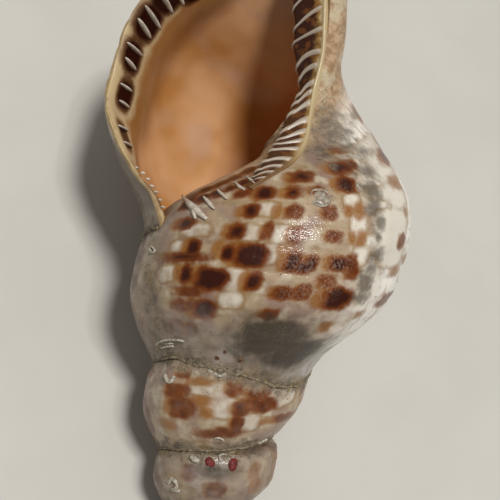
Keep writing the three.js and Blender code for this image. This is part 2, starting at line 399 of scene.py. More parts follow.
def body_section(share):
    outside, inside = [], []
    for turns, u, behind in body_rows(share):
        radius = outer(turns, u)
        y = height(turns) * u
        to_edge = min(behind * 2 * math.pi * radius, CANAL_END + CANAL_SLOPE * turns - y)
        near = min(max(to_edge / EDGE_REACH, 0), 1)
        full = math.sqrt(1 - (1 - near) ** 2)
        edge = EDGE * min(1, math.sqrt(radius / 50))
        top = radius - edge / 2 * (1 - full)
        # The grooves between the cords don't reach the smooth inner wall.
        bottom = max(top - (wall(behind, u, radius) + cord_relief(u)) * full, 1)
        point = place(turns, top, y)
        rough = unevenness(point, 16, 0.5) + unevenness(point, 6, 0.16)
        outside.append((place(turns, top + rough * full, y), (turns, u, behind)))
        inside.append((place(turns, bottom, y), (turns, u, behind)))
    return outside + inside[::-1]


def lip_shares():
    """Shares of the way back from the lip: close together round the edge, then even."""
    total = -BODY_FROM
    stops = [0.0055 * (1 - math.cos(math.pi / 2 * k / 8)) for k in range(9)]
    while stops[-1] < total:
        step = 0.0028 if stops[-1] < 0.95 else 0.008
        stops.append(min(stops[-1] + step, total))
    return [stop / total for stop in stops]


def make_body(material):
    bm, layer = new_bmesh()
    rings = grow(bm, layer, [body_section(share) for share in lip_shares()])
    cap(bm, rings[-1])
    return finish_piece("body_whorl", bm, material)


def make_spire(material):
    bm, layer = new_bmesh()
    stops = [TIP_TURNS]
    while stops[-1] < BODY_FROM:
        step = 1 / (40 * math.exp(0.3 * (stops[-1] - TIP_TURNS)))
        stops.append(min(stops[-1] + step, BODY_FROM))
    levels = [0.38 + 0.36 * k / 64 for k in range(65)]
    sections = []
    for turns in stops:
        outside, inside = [], []
        for u in levels:
            y = height(turns) * u
            radius = outer(turns, u)
            point = place(turns, radius, y)
            rough = (unevenness(point, 16, 0.5) + unevenness(point, 6, 0.16)) * min(1, radius / 40)
            outside.append((place(turns, radius + rough, y), (turns, u, 9)))
            inside.append((place(turns, radius * 0.7, y), (turns, u, 9)))
        sections.append(outside + inside[::-1])
    rings = grow(bm, layer, sections)
    cap(bm, rings[0])
    cap(bm, rings[-1])
    y = height(TIP_TURNS) * 0.62
    knob = Matrix.Translation((axis_x(y), y, 0)) @ Matrix.Diagonal((5.6, 5.2, 5.6, 1))
    made = bmesh.ops.create_uvsphere(bm, u_segments=32, v_segments=20, radius=1, matrix=knob)
    for vert in made["verts"]:
        vert[layer] = (TIP_TURNS, 0.6, 9)
    return finish_piece("spire_whorls", bm, material)


# The inner lip

# Paths along the inner lip, x from the axis: the raised rim, and the edge over the aperture.
RIM = [
    (-12.6, 180.2, 46), (-6.4, 187.6, 41.8), (1.4, 197.8, 34.2), (4.6, 209.4, 23.4),
    (4.6, 220, 15.6), (3.7, 232, 12), (3.7, 242, 11.2), (3.3, 251, 10.8), (1.9, 262, 10.6), (1.4, 273, 10.2),
    (0.6, 288, 9.4), (-0.4, 302, 8), (-1.4, 311, 5),
]
INNER_EDGE = [
    (-15.4, 180.6, 43), (-10.6, 188.5, 39), (-6.6, 199.6, 30.6), (-3.6, 208.6, 21.4),
    (-1.9, 221, 13.4), (-1.3, 233, 7.4), (-4.4, 242.5, 4.6), (-7.8, 251.5, 3.8), (-8.8, 259.5, 4),
    (-10.2, 269, 4), (-11, 281, 3.6), (-10.8, 291, 3), (-9.2, 300, 2),
]
# The ribs across it: the height at which each leaves the rim, and its half width.
RIBS = [
    (307, 0.9), (298, 1), (289, 1.05), (280, 1.1), (270, 1.15), (260.5, 1.2), (250.4, 1.3),
    (244.3, 1.35), (236.5, 1.6), (232.2, 1.5), (227, 1.75), (219, 1.9), (213.3, 1.8),
    (208.4, 1.7), (203.4, 1.7), (197.5, 1.6), (193.2, 1.2), (189.6, 1), (186.2, 0.9),
]
RIB_SLANT = 6.5
FRONTAL = Vector((-0.12, 0.1, 1)).normalized()


def along(points, t):
    """The path through points whose x counts from the axis."""
    out = spline(points, t)
    return out + Vector((axis_x(out.y), 0, 0))


def make_inner_lip(material):
    """The columella's callus: a raised rim, ribs across, and the steep side into the aperture."""
    steps = 520
    rims = [along(RIM, k / steps) for k in range(steps + 1)]
    lengths = [0.0]
    for a, b in zip(rims, rims[1:]):
        lengths.append(lengths[-1] + (b - a).length)
    ribs = []
    for y, width in RIBS:
        k = min(range(steps + 1), key=lambda i: abs(rims[i].y - y))
        ribs.append((lengths[k], width))

    def rib(length, across):
        slanted = length + RIB_SLANT * max(across, 0) ** 1.5
        return max(bump(slanted - at, width * (1 - 0.3 * min(across, 1))) for at, width in ribs)

    bm, layer = new_bmesh()
    sections = []
    for k in range(steps + 1):
        t = k / steps
        rim, edge = rims[k], along(INNER_EDGE, t)
        across = (edge - rim).normalized()
        width = (edge - rim).length
        up = (FRONTAL - across * FRONTAL.dot(across)).normalized()
        ends = smoothstep(t, 0, 0.1) * smoothstep(t, 1, 0.93)
        crest = 0.2 + 1.1 * ends * smoothstep(t, 0, 0.22)
        section = [
            (rim - across * 1 - up * 5, (-0.3, 0, t)),
            (rim - across * 1 - up * 1.4, (-0.25, 0, t)),
            (rim - across * 0.85 + up * crest * 0.3, (-0.12, 0, t)),
            (rim - across * 0.45 + up * crest * 0.85, (-0.05, 0, t)),
            (rim + up * crest, (0, 0, t)),
            (rim + across * 0.5 + up * crest * 0.85, (0.04, 0, t)),
        ]
        for i in range(1, 19):
            a = 0.06 + 0.94 * i / 18
            value = rib(lengths[k], a) * smoothstep(a, 0.0, 0.16) * ends
            rise = crest * 0.35 * (1 - a) + 1.1 * 4 * a * (1 - a) * 0.5 + 1.15 * value
            section.append((rim + across * width * a + up * rise, (a, value, t)))
        for i in range(1, 8):
            angle = math.radians(85) * i / 7
            a = 1 + 0.35 * i / 7
            value = rib(lengths[k], a) * ends
            out = across * math.sin(angle) + up * math.cos(angle)
            centre = edge - up * 2.6
            section.append((centre + out * (2.6 + 1.05 * value), (a, value, t)))
        depth = min(16, max(edge.z + 3, 2))
        for i in range(1, 7):
            value = rib(lengths[k], 1.35 + 0.1 * i) * ends * (1 - i / 7)
            down = edge - up * (2.6 + depth * i / 6) + across * (2.6 - 1.5 * i / 6)
            section.append((down + across * 0.7 * value, (1.35 + 0.1 * i, value, t)))
        section.append((rim - across * 1 - up * min(7, depth), (2, 0, t)))
        sections.append(section)
    rings = grow(bm, layer, sections)
    for loop in (rings[0], rings[-1]):
        centre = sum((v.co for v in loop), Vector()) / len(loop)
        tip = bm.verts.new(centre)
        for a, b in zip(loop, loop[1:] + loop[:1]):
            bm.faces.new((a, b, tip))
    return finish_piece("inner_lip", bm, material)


# The teeth inside the lip: where each one's two ends show, in pixels, from the canal down.
TOOTH_PAIRS = [
    [((170, -24), (184, 6)), ((157, -14), (173, 14))],
    [((145, 5), (161, 30)), ((138, 18), (151, 39))],
    [((127, 42), (143, 57)), ((125, 57), (136, 71))],
    [((120, 83), (132, 92)), ((119, 100), (129, 108))],
    [((118, 125), (128, 131)), ((122, 141), (132, 147))],
]
TOOTH_SINGLES = [(137, 167), (143, 173), (148, 179), (152, 186), (156, 192), (160, 200), (163, 207)]
TOOTH_WIDTH = 0.75
TOOTH_RISE = 1.5
# Two more pairs past the picture's edge, by u, with how far behind the lip's edge they run.
FAR_TOOTH_PAIRS = [0.84, 0.8]
FAR_TOOTH_RUN = (0.01, 0.034)
FAR_TOOTH_GAP = 0.0085
# The dark patches' half lengths and half heights in mm, from the canal down.
TOOTH_PATCHES = [(5.5, 7), (6.5, 8), (6.8, 9), (6.8, 9), (5.8, 8.4), (5.2, 8.8), (4.2, 6.8)]
SINGLE_PATCH = (2.2, 1.4)


def tooth_places():
    """Each tooth's ends as (behind, u), pair by pair, and the single bumps' places."""
    pairs = [
        [[(behind, u + side * FAR_TOOTH_GAP) for behind in FAR_TOOTH_RUN] for side in (1, -1)]
        for u in FAR_TOOTH_PAIRS
    ]
    pairs += [[[find(ON_LIP, *end) for end in tooth] for tooth in pair] for pair in TOOTH_PAIRS]
    return pairs, [find(ON_LIP, *spot) for spot in TOOTH_SINGLES]


def make_teeth(material):
    """White teeth on the inside of the lip, in pairs, and small bumps near its apical end."""
    bm, layer = new_bmesh()
    pairs, singles = tooth_places()
    rows = [(*[lip_face(*end) for end in tooth], 1) for pair in pairs for tooth in pair]
    for behind, u in singles:
        rows.append((lip_face(behind - 0.002, u), lip_face(behind + 0.002, u), 0.7))
    for first, last, share in rows:
        middle, run = (first + last) / 2, last - first
        inward = Vector((axis_x(middle.y), middle.y, 0)) - middle
        side = run.cross(inward).normalized()
        up = side.cross(run).normalized()
        if up.dot(inward) < 0:
            up = -up
        turn = Matrix((side, run.normalized(), up)).transposed().to_4x4()
        size = Matrix.Diagonal((TOOTH_WIDTH * share, run.length / 2, TOOTH_RISE * share, 1))
        matrix = Matrix.Translation(middle) @ turn @ size
        bmesh.ops.create_uvsphere(bm, u_segments=14, v_segments=12, radius=1, matrix=matrix)
    return finish_piece("lip_teeth", bm, material)


# What lies on the shell, by where it shows in the photograph in pixels; widths are in mm

# Ridges on the wall above the aperture: x, y and half width along each.
WALL_RIDGES = [
    [(184, 197, 0.6), (190, 204, 1.3), (196, 209, 1.5), (201, 214, 1.2), (207, 219, 0.7)],
    [(194, 207, 0.9), (195, 213, 1), (196, 219, 0.5)],
    [(204, 197, 0.4), (208, 201, 0.8), (212, 206, 0.7), (215, 209, 0.4)],
    [(218, 190, 0.4), (222, 194, 0.7), (227, 199, 0.4)],
    [(236, 183, 0.4), (240, 187, 0.7), (245, 190, 0.4)],
    [(247, 177, 0.4), (251, 180, 0.6), (255, 184, 0.4)],
    [(257, 173, 0.4), (260, 176, 0.6), (264, 179, 0.4)],
]
# Worm tubes cemented on: half width, then the path.
WORM_TUBES = [
    (0.55, [(157, 345), (163, 341), (173, 340), (183, 341), (186, 345), (183, 348), (172, 346),
            (162, 348)]),
    (0.4, [(165, 344), (173, 343.5), (181, 344)]),
    (0.8, [(165, 371), (166, 376), (168, 381), (172, 381), (175, 376)]),
    (0.6, [(209, 370), (214, 373), (220, 376), (226, 373)]),
    (0.42, [(213, 441), (215, 438.5), (219, 438), (223, 440), (224, 443)]),
    (1.2, [(192, 457), (196, 460), (200, 463)]),
    (0.45, [(219, 456), (223, 454), (228, 456), (229, 460), (226, 463), (221, 461), (219, 456)]),
    (0.7, [(169, 483), (172, 479), (176, 482), (177, 487), (173, 490), (180, 491)]),
    (0.6, [(258, 443), (262, 441), (266, 439)]),
    (0.5, [(150, 249), (152, 247), (155, 250), (153, 253), (150, 249)]),
    (0.3, [(356, 184), (358, 188), (361, 192)]),
]
# Two more on the hidden side, by their places (turns, u) on the shell.
FAR_TUBES = [
    (0.5, [(-0.30, 0.62), (-0.295, 0.628), (-0.285, 0.63), (-0.278, 0.622), (-0.284, 0.614)]),
    (0.6, [(-1.3, 0.6), (-1.29, 0.62), (-1.27, 0.625), (-1.255, 0.61)]),
]
RED_CRUSTS = [(210, 463, 2.1), (234, 464, 2.3), (223, 458, 1.1)]
PUSTULES = [
    (217, 358, 1), (221, 362, 1.2), (213, 363, 0.9), (236, 364, 1.2), (240, 360, 1),
    (243, 366, 1.1), (231, 360, 0.8), (225, 352, 0.7), (229, 356, 0.8), (196, 348, 0.7),
    (268, 383, 0.8), (248, 377, 0.8), (205, 353, 0.7), (234, 371, 0.9),
]
BARNACLE = (321, 197, 4.6)
# Fields of glassy grains: x, y, spread round and along in mm, how many, size in mm.
GRAINS = [
    (326, 222, 9, 14, 380, 0.18), (322, 289, 8, 1.2, 70, 0.2), (338, 187, 5, 7, 60, 0.2),
    (332, 128, 6, 9, 150, 0.24), (243, 372, 16, 2.5, 150, 0.34), (172, 346, 9, 4, 70, 0.3),
    (232, 385, 13, 3, 90, 0.3), (150, 255, 4, 8, 60, 0.28), (222, 436, 14, 4, 60, 0.26),
    (214, 466, 9, 5, 70, 0.3), (160, 325, 4, 9, 60, 0.28), (272, 342, 14, 8, 90, 0.2),
]
# The same on the hidden side, by turns and u.
FAR_GRAINS = [
    (-1.2, 0.6, 60, 20, 120, 0.28), (-0.3, 0.6, 60, 24, 110, 0.28), (-2.3, 0.6, 40, 12, 80, 0.26),
]


def ball(bm, turns, u, size, flat=0.6, subdivisions=2):
    """A low round lump on the shell."""
    here, round_, up, out = skin_frame(turns, u)
    turn = Matrix((round_, up, out)).transposed().to_4x4()
    matrix = Matrix.Translation(here) @ turn @ Matrix.Diagonal((size, size, size * flat, 1))
    made = bmesh.ops.create_icosphere(bm, subdivisions=subdivisions, radius=1, matrix=matrix)
    return made["verts"]


def make_wall_ridges(material):
    bm, layer = new_bmesh()
    steps = 14
    for ridge in WALL_RIDGES:
        centres = [skin(*find(ON_SHELL, x, y), 0.5) for x, y, _ in ridge]
        widths = [(width, 0, 0) for _, _, width in ridge]
        path = [spline(centres, k / steps) for k in range(steps + 1)]
        radii = [spline(widths, k / steps).x for k in range(steps + 1)]
        tube(bm, layer, path, radii, sides=10)
    return finish_piece("wall_ridges", bm, material)


def make_worm_tubes(material):
    bm, layer = new_bmesh()
    rows = [(width, [find(ON_SHELL, *spot) for spot in path]) for width, path in WORM_TUBES]
    for width, places in rows + FAR_TUBES:
        centres = [skin(turns, u, width * 0.5) for turns, u in places]
        steps = 6 * len(places)
        path = [spline(centres, k / steps) for k in range(steps + 1)]
        radii = [width * (1 + 0.25 * noise.noise(point / 0.9)) for point in path]
        tube(bm, layer, path, radii)
    return finish_piece("worm_tubes", bm, material)


def make_red_crusts(material):
    """Low irregular lumps, each of a few that overlap."""
    bm, layer = new_bmesh()
    rng = random.Random(3)
    for x, y, size in RED_CRUSTS:
        turns, u = find(ON_SHELL, x, y)
        for _ in range(5):
            at = turns + rng.uniform(-0.5, 0.5) * size / ring(turns, u)
            level = u + rng.uniform(-0.5, 0.5) * size / height(turns)
            for vert in ball(bm, at, level, size * rng.uniform(0.5, 0.8), 0.6, 3):
                vert.co += noise.noise_vector(vert.co / 0.9) * 0.3
    return finish_piece("red_crusts", bm, material)


def make_pustules(material):
    bm, layer = new_bmesh()
    for x, y, size in PUSTULES:
        ball(bm, *find(ON_SHELL, x, y), size, 0.7, 3)
    return finish_piece("pustules", bm, material)


def make_barnacle_base(material):
    """The round scar of a barnacle: low uneven rings of lime."""
    bm, layer = new_bmesh()
    x, y, size = BARNACLE
    here, round_, up, out = skin_frame(*find(ON_SHELL, x, y))
    sides = 48
    steps = 20
    sections = []
    for k in range(steps + 1):
        share = 1 - k / steps
        section = []
        for i in range(sides):
            angle = 2 * math.pi * i / sides
            flat = round_ * math.cos(angle) + up * math.sin(angle)
            reach = size * share * (1 + 0.1 * noise.noise(flat * 1.7))
            rough = noise.noise(here + flat * reach * 1.4)
            rise = 0.5 * (1 - share ** 3) - 0.42 + 0.14 * math.cos(share * 14 + rough) + 0.12 * rough
            section.append((here + flat * max(reach, 0.05) + out * rise, (share, 0, 0)))
        sections.append(section)
    rings = grow(bm, layer, sections)
    bm.faces.new(rings[0])
    bm.faces.new(rings[-1])
    return finish_piece("barnacle_base", bm, material)


def suture_level(turns):
    """The height u on a whorl at which it comes out from under its lower edge."""
    u = 0.4
    below = height(turns) / height(turns - 1)
    while u < 0.6 and outer(turns, u) < outer(turns - 1, u * below):
        u += 0.002
    return u


def make_suture_crust(material):
    """A rough line of lime that fills the angle between one whorl and the next."""
    bm, layer = new_bmesh()
    path, radii = [], []
    turns = -4.2
    while turns < LIP_EDGE[0][1] - 0.01:
        small = min(1, outer(turns, 0.6) / 60)
        point = skin(turns, suture_level(turns), 0.1)
        path.append(point)
        radii.append(small * (0.7 + 0.6 * noise.noise(point / 6) + 0.4 * noise.noise(point / 2)))
        turns += 0.008
    tube(bm, layer, path, radii, sides=9)
    for vert in bm.verts:
        vert.co += 0.35 * noise.noise_vector(vert.co / 1.1)
    return finish_piece("suture_crust", bm, material)


def make_grains(material):
    bm, layer = new_bmesh()
    rng = random.Random(11)
    rows = [(*find(ON_SHELL, x, y), *rest) for x, y, *rest in GRAINS]
    for turns, u, wide, tall, count, size in rows + FAR_GRAINS:
        for _ in range(count):
            at = turns + rng.gauss(0, wide) / ring(turns, u)
            level = u + rng.gauss(0, tall) / height(turns)
            width = size * rng.uniform(0.35, 1.2)
            # Past the lip's edge there is no shell to sit on.
            if at < lip_turns(level) - 0.03:
                ball(bm, at, level, width, 0.7, 1)
    return finish_piece("glassy_grains", bm, material)


# Markings on the side that shows: x, y, half width and half height in pixels

# Brown flames, darkest at the end towards the lip's side of growth and ochre at the other.
DARK = [
    (384, 156.5, 3.5, 6), (337.5, 167.5, 11, 6), (299, 176.5, 10, 4.5), (344, 185, 9, 7),
    (262.5, 192.5, 9, 6.5), (291.5, 192.5, 7, 4.5), (249, 211, 7.5, 5.5), (183.5, 223.5, 7.5, 5),
    (235, 231, 8.5, 6.5), (191.5, 246.5, 6.5, 7.5), (226, 252.5, 6.5, 7), (246, 255, 17.5, 11.5),
    (176.5, 257, 18.5, 3.5), (291, 261.5, 7, 10), (310, 263.5, 6.5, 7.5), (336.5, 263.5, 10, 7),
    (300, 266.5, 10, 5.5), (184, 273.5, 5.5, 7.5), (206.5, 278.5, 17, 11), (251.5, 281.5, 7.5, 9),
    (333.5, 298.5, 14, 11.5), (201.5, 309, 12, 8.5), (189, 329, 5, 4.5),
]
RUST = [
    (335, 151, 5, 2), (350, 165.5, 4, 4), (317.5, 190, 5.5, 2.5), (242.5, 192.5, 6.5, 3.5),
    (292.5, 192.5, 5, 4), (293.5, 212.5, 8.5, 6.5), (330, 212.5, 7, 6), (266.5, 231.5, 4.5, 7.5),
    (296, 235, 6.5, 7), (334, 237.5, 6, 4.5), (401.5, 241, 2.5, 6.5), (350, 265, 4.5, 9),
    (351.5, 274, 5.5, 5), (326.5, 281.5, 6.5, 5), (189, 291.5, 10.5, 3), (302.5, 292.5, 6.5, 7),
    (281.5, 293.5, 8.5, 5.5), (388.5, 297.5, 5.5, 5), (381.5, 302.5, 4, 3), (181, 305, 8, 3.5),
    (269, 314, 7, 4.5), (171, 326, 8, 4.5), (184.5, 371, 5.5, 6.5), (235, 388, 7, 7.5),
    (260, 390, 11, 8), (177.5, 391, 10, 6), (260, 405, 15.5, 7), (181, 408, 12, 9),
    (241, 409.5, 7.5, 6), (284, 417.5, 7.5, 3), (236.5, 424, 5, 6), (230, 432.5, 10, 3.5),
    (210, 434, 10, 2), (189, 472.5, 6, 6), (215, 491, 8, 7.5),
]
OCHRE = [
    (395.5, 182.5, 4.5, 6.5), (277.5, 211, 4.5, 6.5), (349, 211, 3.5, 5), (360, 211, 3.5, 8),
    (406.5, 211.5, 2, 4.5), (351, 237.5, 2.5, 6), (361.5, 239, 3.5, 7), (218.5, 248.5, 4.5, 8.5),
    (281.5, 250, 3.5, 3.5), (285, 253.5, 3.5, 7.5), (405, 258.5, 2.5, 4.5), (178.5, 271.5, 4.5, 8.5),
    (395, 271.5, 5.5, 5), (243.5, 281.5, 2.5, 7), (320, 283.5, 3.5, 6.5), (358.5, 315, 4.5, 3.5),
    (324, 327.5, 4.5, 6.5), (197.5, 381, 14, 3.5), (199, 401, 12, 4.5), (206, 413, 6, 5),
    (271, 421, 9, 4), (165, 424, 7.5, 5), (255, 470, 4.5, 7.5), (256, 486, 6.5, 7.5),
]
SLATE = [
    (353, 116, 6, 5), (362.5, 151.5, 6, 4.5), (368.5, 171.5, 9, 8), (372, 190, 10, 11),
    (374, 207, 8, 9), (381, 223, 6, 8), (378, 238, 4, 7), (377, 255, 8, 8), (370, 270, 6, 8),
    (366, 283, 9, 11), (362, 298, 8, 8), (215, 472.5, 19, 7.5),
]
# Clear white spaces by the silhouette, partly painted light on the lit side, and paler ones between the
# flames.
WHITE = [
    (367.5, 145, 7.5, 3.5), (377.5, 160, 7.5, 5), (386, 173.5, 8.5, 7.5), (392.5, 193.5, 11, 6.5),
    (396.5, 196.5, 8.5, 11.5), (358.5, 225, 6.5, 10), (395, 225, 11.5, 15), (375, 241.5, 11.5, 4.5),
    (391.5, 245, 10, 10), (391.5, 256.5, 8.5, 10), (360, 255, 6, 8), (352, 200, 5, 6),
]
PALE = [
    (326, 98.5, 4.5, 5), (330.5, 105, 4, 5), (266.5, 209, 10, 5.5), (195, 230, 10, 5),
    (251, 232.5, 10, 6.5), (280, 233.5, 9, 7.5), (176.5, 246.5, 5, 4.5), (268.5, 253.5, 6.5, 8.5),
    (166, 273.5, 7.5, 6.5), (232.5, 278.5, 10.5, 10), (230, 300, 9, 7), (200, 390, 11, 3),
    (219, 390, 11, 7), (282.5, 395, 12.5, 10.5), (222.5, 407.5, 14, 9), (247.5, 422.5, 10, 8),
]
# Brown stains between the ridges on the wall.
STAINS = [
    (186, 204, 6, 7), (200, 199, 7, 5), (214, 194, 7, 4), (228, 189, 7, 4), (242, 183, 7, 4),
    (255, 177, 6, 4), (190, 196, 7, 5), (204, 190, 8, 5), (218, 184, 8, 5), (232, 178, 8, 5),
    (246, 171, 8, 5),
]
# Wider patches: smooth grey, grit, and the worn ground that takes a painted pinkish sheen.
GREY_PATCH = [(272, 338, 42, 26), (293, 353, 32, 25), (214, 469, 14, 6)]
GRIT = [
    (330, 126, 17, 24), (322, 152, 12, 12), (150, 300, 8, 40), (165, 352, 24, 10),
    (200, 360, 34, 9), (238, 366, 22, 7),
]
GLITTER = [(322, 243, 32, 56)]
WIDEST = 60
# A mark's outline: 2 is an ellipse, and more is squarer.
ROUNDNESS = 2.7
# The dirty outside of the lip, as (turns, u, half length, half height) in mm.
LIP_BACK = [(0.06, 0.5, 24, 13), (-0.01, 0.53, 14, 11)]


def seeded_marks():
    """Flames in rows along the cords for the rest of the shell, in the same rhythm."""
    rng = random.Random(5)
    dark, rust, ochre = [], [], []
    for first, last in ((-6, -2.93), (-2.55, -1.93), (-1.55, -0.92), (-0.5, 0.02)):
        for u in CORDS:
            turns = first + rng.uniform(0, 0.05)
            while turns < last:
                radius = outer(turns, u)
                size = min(1, 0.25 + radius / 90)
                length = rng.uniform(2.6, 6.8) * size
                tall = rng.uniform(2.4, 4.2) * size
                kind = rng.choice((dark, dark, rust, ochre))
                if turns < -1.5:
                    kind = rng.choice((rust, ochre, ochre))
                kind.append((turns, u + rng.uniform(-0.006, 0.006), length, tall))
                turns += (2 * length + rng.uniform(3, 13) * size) / (2 * math.pi * radius)
    return dark, rust, ochre


def field(turns, u, marks, shift=0.0, more=0.0, low=-4.0, flame=0.0):
    """Signed depth in mm inside the nearest of the marks, for arrays of turns and u.

    A flame is full at the end towards the lip and runs out in two tongues at the other."""
    depth = np.full(len(turns), low)
    for at, mid, length, tall in marks:
        round_ = ring(at, mid)
        near = np.flatnonzero(
            (np.abs(turns - at) * round_ < length + 8) & (np.abs(u - mid) * height(at) < tall + 8)
        )
        a, b = length + more, tall + more * 0.5
        dx = ((turns[near] - at) * round_ - shift * length) / a
        dy = (u[near] - mid) * height(at) / b
        share = (np.abs(dx) ** ROUNDNESS + np.abs(dy) ** ROUNDNESS) ** (1 / ROUNDNESS)
        notch = flame * np.clip(-dx, 0, 1) * (0.3 + 0.7 * np.exp(-((dy / 0.45) ** 2)))
        depth[near] = np.maximum(depth[near], (1 - share - notch) * min(a, b))
    return depth


def ease(x, low, high):
    t = np.clip((x - low) / (high - low), 0, 1)
    return t * t * (3 - 2 * t)


def suture_gap(turns, u):
    """Distance in mm above the whorl's own suture and below the next one's, and what that covers."""
    tall = np.array([height(at) for at in turns])
    next_tall = np.array([height(at + 1) for at in turns])
    table = np.linspace(TIP_TURNS - 0.1, LIP_EDGE[0][1], 260)
    line = [height(at) * suture_level(at) for at in table]
    above = tall * u - np.interp(turns, table, line)
    below = np.interp(turns + 1, table, line) - tall * u
    over = [lip_turns(level) for level in np.minimum(tall * u / next_tall, 0.9)]
    under_next = ease(np.array(over) - turns - 1, 0, 0.02)
    below = np.where(under_next > 0, below, 99)
    return above, below, under_next * ease(-below, 0.5, 3)


def tooth_patches():
    """Dark patches under the teeth, whose turns count back from the lip's own edge."""
    pairs, singles = tooth_places()
    marks = []
    for pair, size in zip(pairs, TOOTH_PATCHES):
        ends = [end for tooth in pair for end in tooth]
        behind = sum(end[0] for end in ends) / len(ends)
        u = sum(end[1] for end in ends) / len(ends)
        marks.append((-behind, u, *size))
    for behind, u in singles:
        marks.append((-behind, u, *SINGLE_PATCH))
    return marks


def store(mesh, name, values):
    attribute = mesh.attributes.new(name, "FLOAT_VECTOR", "POINT")
    attribute.data.foreach_set("vector", np.stack(values, 1).astype(np.float32).ravel())


def paint(piece):
    """Stores the fields on the piece's points for the materials to read."""
    mesh = piece.data
    places = np.empty(len(mesh.vertices) * 3)
    mesh.attributes["place"].data.foreach_get("vector", places)
    turns, u, behind = places.reshape(-1, 3).T
    dark, rust, ochre = seeded_marks()
    dark += marks_seen(DARK)
    rust += marks_seen(RUST)
    ochre += marks_seen(OCHRE)
    deep = field(turns, u, dark + marks_seen(STAINS), shift=0.16, more=0.2, flame=0.5)
    medium = np.minimum(field(turns, u, rust, more=0.3, flame=0.3), 0.15)
    halo = np.maximum.reduce([
        field(turns, u, dark, shift=-0.3, more=1.5),
        field(turns, u, rust, shift=-0.3, more=1.2),
        field(turns, u, ochre, more=0.7),
    ])
    slate = field(turns, u, marks_seen(SLATE))
    store(mesh, "marks", [np.maximum(deep, medium), halo, slate])

    wide = [marks_seen(rows, WIDEST, WIDEST) for rows in (GREY_PATCH, GRIT, GLITTER)]
    store(mesh, "patches", [field(turns, u, rows, low=-12) for rows in wide])

    above, below, inside = suture_gap(turns, u)
    near = np.minimum(np.abs(above), np.abs(below))
    pale = np.minimum(field(turns, u, marks_seen(PALE), more=0.4), 0.2)
    white = field(turns, u, marks_seen(WHITE), more=0.6)
    store(mesh, "cover", [inside, near, np.maximum(pale, white)])

    # A thin grey growth lies over the spire, the left flank, by the sutures and the lip's back.
    spire = 0.3 * ease(-turns, 1.25, 1.7) + 0.5 * ease(-turns, 2.1, 2.8)
    flank = 0.7 * ease(-turns, 0.855, 0.91) * (1 - ease(-turns, 1.02, 1.2))
    low = (1 - ease(above, 6, 32)) * (0.35 + 0.75 * ease(turns, -1.3, -1.05))
    back = 1.1 * ease(field(turns, u, LIP_BACK, low=-12), -4, 4)
    groove = np.max([np.exp(-((u - gap) / 0.0052) ** 2) for gap in GAPS], 0)
    store(mesh, "film", [np.maximum.reduce([spire, flank, low, back]), groove * (u < 0.85), back])
    store(mesh, "lip", [field(-behind, u, tooth_patches()), behind, turns])


# Materials

# Kinds of shader node: the node, the output that is used, its inputs in order, its settings.
KINDS = {
    "object": ("ShaderNodeTexCoord", "Object", (), {}),
    "stored": ("ShaderNodeAttribute", "Vector", (), {}),
    "x": ("ShaderNodeSeparateXYZ", 0, (0,), {}),
    "y": ("ShaderNodeSeparateXYZ", 1, (0,), {}),
    "z": ("ShaderNodeSeparateXYZ", 2, (0,), {}),
    "scaled": ("ShaderNodeVectorMath", 0, (0, 1), {"operation": "MULTIPLY"}),
    "noise": ("ShaderNodeTexNoise", 0, ("Vector", "Scale", "Detail", "Roughness"), {}),
    "plus": ("ShaderNodeMath", 0, (0, 1), {"operation": "ADD"}),
    "most": ("ShaderNodeMath", 0, (0, 1), {"operation": "MAXIMUM"}),
    "times plus": ("ShaderNodeMath", 0, (0, 1, 2), {"operation": "MULTIPLY_ADD"}),
    "ease": (
        "ShaderNodeMapRange", 0, ("Value", "From Min", "From Max", "To Max", "To Min"),
        {"interpolation_type": "SMOOTHSTEP"},
    ),
    "mix": ("ShaderNodeMix", 2, (0, 6, 7), {"data_type": "RGBA"}),
    "bump": ("ShaderNodeBump", 0, ("Height", "Distance", "Strength", "Normal"), {}),
}
MILLIMETRES = (1000, 1000, 1000)


def srgb(code):
    """Linear colour from a hex code."""
    parts = [int(code[i:i + 2], 16) / 255 for i in (1, 3, 5)]
    lin = [p / 12.92 if p <= 0.04045 else ((p + 0.055) / 1.055) ** 2.4 for p in parts]
    return (*lin, 1)


def feed(socket, value):
    """Gives a socket another node's output, a colour by its hex code, or a value."""
    if isinstance(value, bpy.types.NodeSocket):
        socket.id_data.links.new(value, socket)
    else:
        socket.default_value = srgb(value) if isinstance(value, str) else value


def add(tree, kind, *inputs, **settings):
    """Adds a shader node of one of the kinds, feeds its inputs and returns its output."""
    node_type, output, order, fixed = KINDS[kind]
    made = tree.nodes.new(node_type)
    for name, value in {**fixed, **settings}.items():
        setattr(made, name, value)
    for key, value in zip(order, inputs):
        feed(made.inputs[key], value)
    return made.outputs[output]


def new_material(name, surface, *finish):
    """A material whose surface function adds its nodes and says what feeds the shader."""
    material = bpy.data.materials.new(name)
    material.use_nodes = True
    shader = material.node_tree.nodes["Principled BSDF"]
    for key, value in surface(partial(add, material.node_tree), *finish).items():
        feed(shader.inputs[key], value)
    return material


